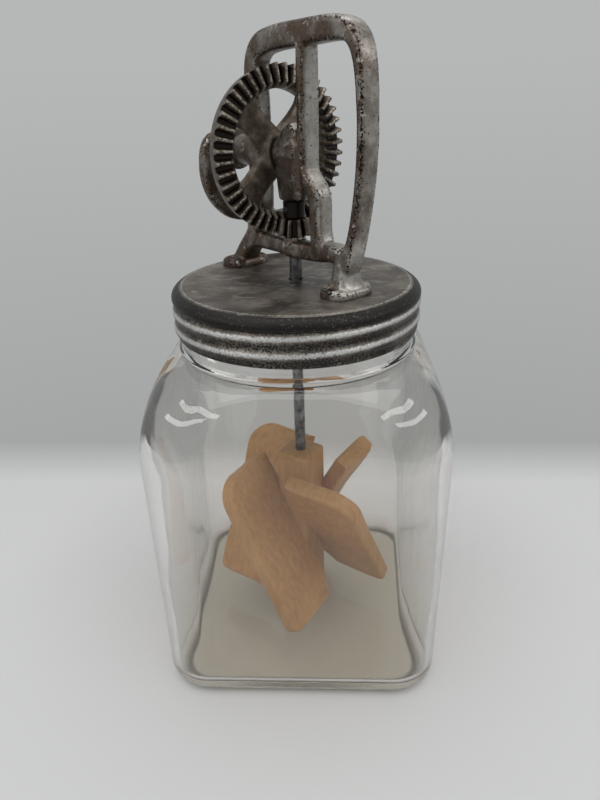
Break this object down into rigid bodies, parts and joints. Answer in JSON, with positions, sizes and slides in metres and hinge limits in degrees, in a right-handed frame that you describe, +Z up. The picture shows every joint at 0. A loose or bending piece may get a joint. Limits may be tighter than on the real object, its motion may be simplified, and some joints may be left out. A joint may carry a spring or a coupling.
{
  "type": "glass jar butter churn",
  "caption": "Table-top butter churn: square glass jar, metal screw lid, cast frame with hand crank and bevel gears that turn a wooden dasher on a steel rod.",
  "frame": {"origin": "middle of the jar's base, on the surface it stands on", "axes": "+Z up along the dasher rod; -Y is the jar's front side and X runs along that side"},
  "size_m": [0.157, 0.193, 0.3402],
  "materials": {
    "clear_glass": "clear pressed glass, slightly grey",
    "zinc_lid": "dull zinc-coated sheet with brown patina",
    "cast_frame": "worn tinned iron casting with rust in the hollows",
    "rivet_steel": "darkened steel rivets",
    "steel": "bare steel",
    "gear_iron": "dark greasy cast iron with bright tooth crests",
    "knob_wood": "stained turned hardwood",
    "dasher_wood": "bare maple or birch, darkened by use"
  },
  "bodies": {
    "jar_body": {"jar": "clear_glass"},
    "lid_body": {"screw_lid": "zinc_lid", "frame": "cast_frame", "frame_rivets": "rivet_steel"},
    "crank": {"crank_shaft": "steel", "drive_gear": "gear_iron", "gear_pin": "steel", "crank_arm": "cast_frame", "crank_pin": "steel", "knob_spindle": "steel", "knob_washer": "steel"},
    "knob": {"crank_knob": "knob_wood"},
    "dasher": {"dasher_rod": "steel", "pinion": "gear_iron", "pinion_pin": "steel", "dasher_hub": "dasher_wood", "dasher_pin": "steel", "dasher_blade_1": "dasher_wood", "dasher_blade_2": "dasher_wood", "dasher_blade_3": "dasher_wood", "dasher_blade_4": "dasher_wood"}
  },
  "joints": [
    {"name": "lid_lift", "type": "slide", "parent": "jar_body", "child": "lid_body", "axis": [0, 0, 1], "range_m": [0, 0.21]},
    {"name": "crank_turn", "type": "hinge", "parent": "lid_body", "child": "crank", "pos_m": [0, 0, 0.2858], "axis": [0.66, -0.7513, 0], "continuous": true},
    {"name": "knob_spin", "type": "hinge", "parent": "crank", "child": "knob", "pos_m": [-0.02314, 0.09934, 0.23229], "axis": [0.66, -0.7513, 0], "continuous": true},
    {"name": "dasher_spin", "type": "hinge", "parent": "lid_body", "child": "dasher", "pos_m": [0, 0, 0.25], "axis": [0, 0, 1], "continuous": true}
  ],
  "couplings": [
    {"joint": "dasher_spin", "follows": "crank_turn", "ratio": -4.8889}
  ]
}
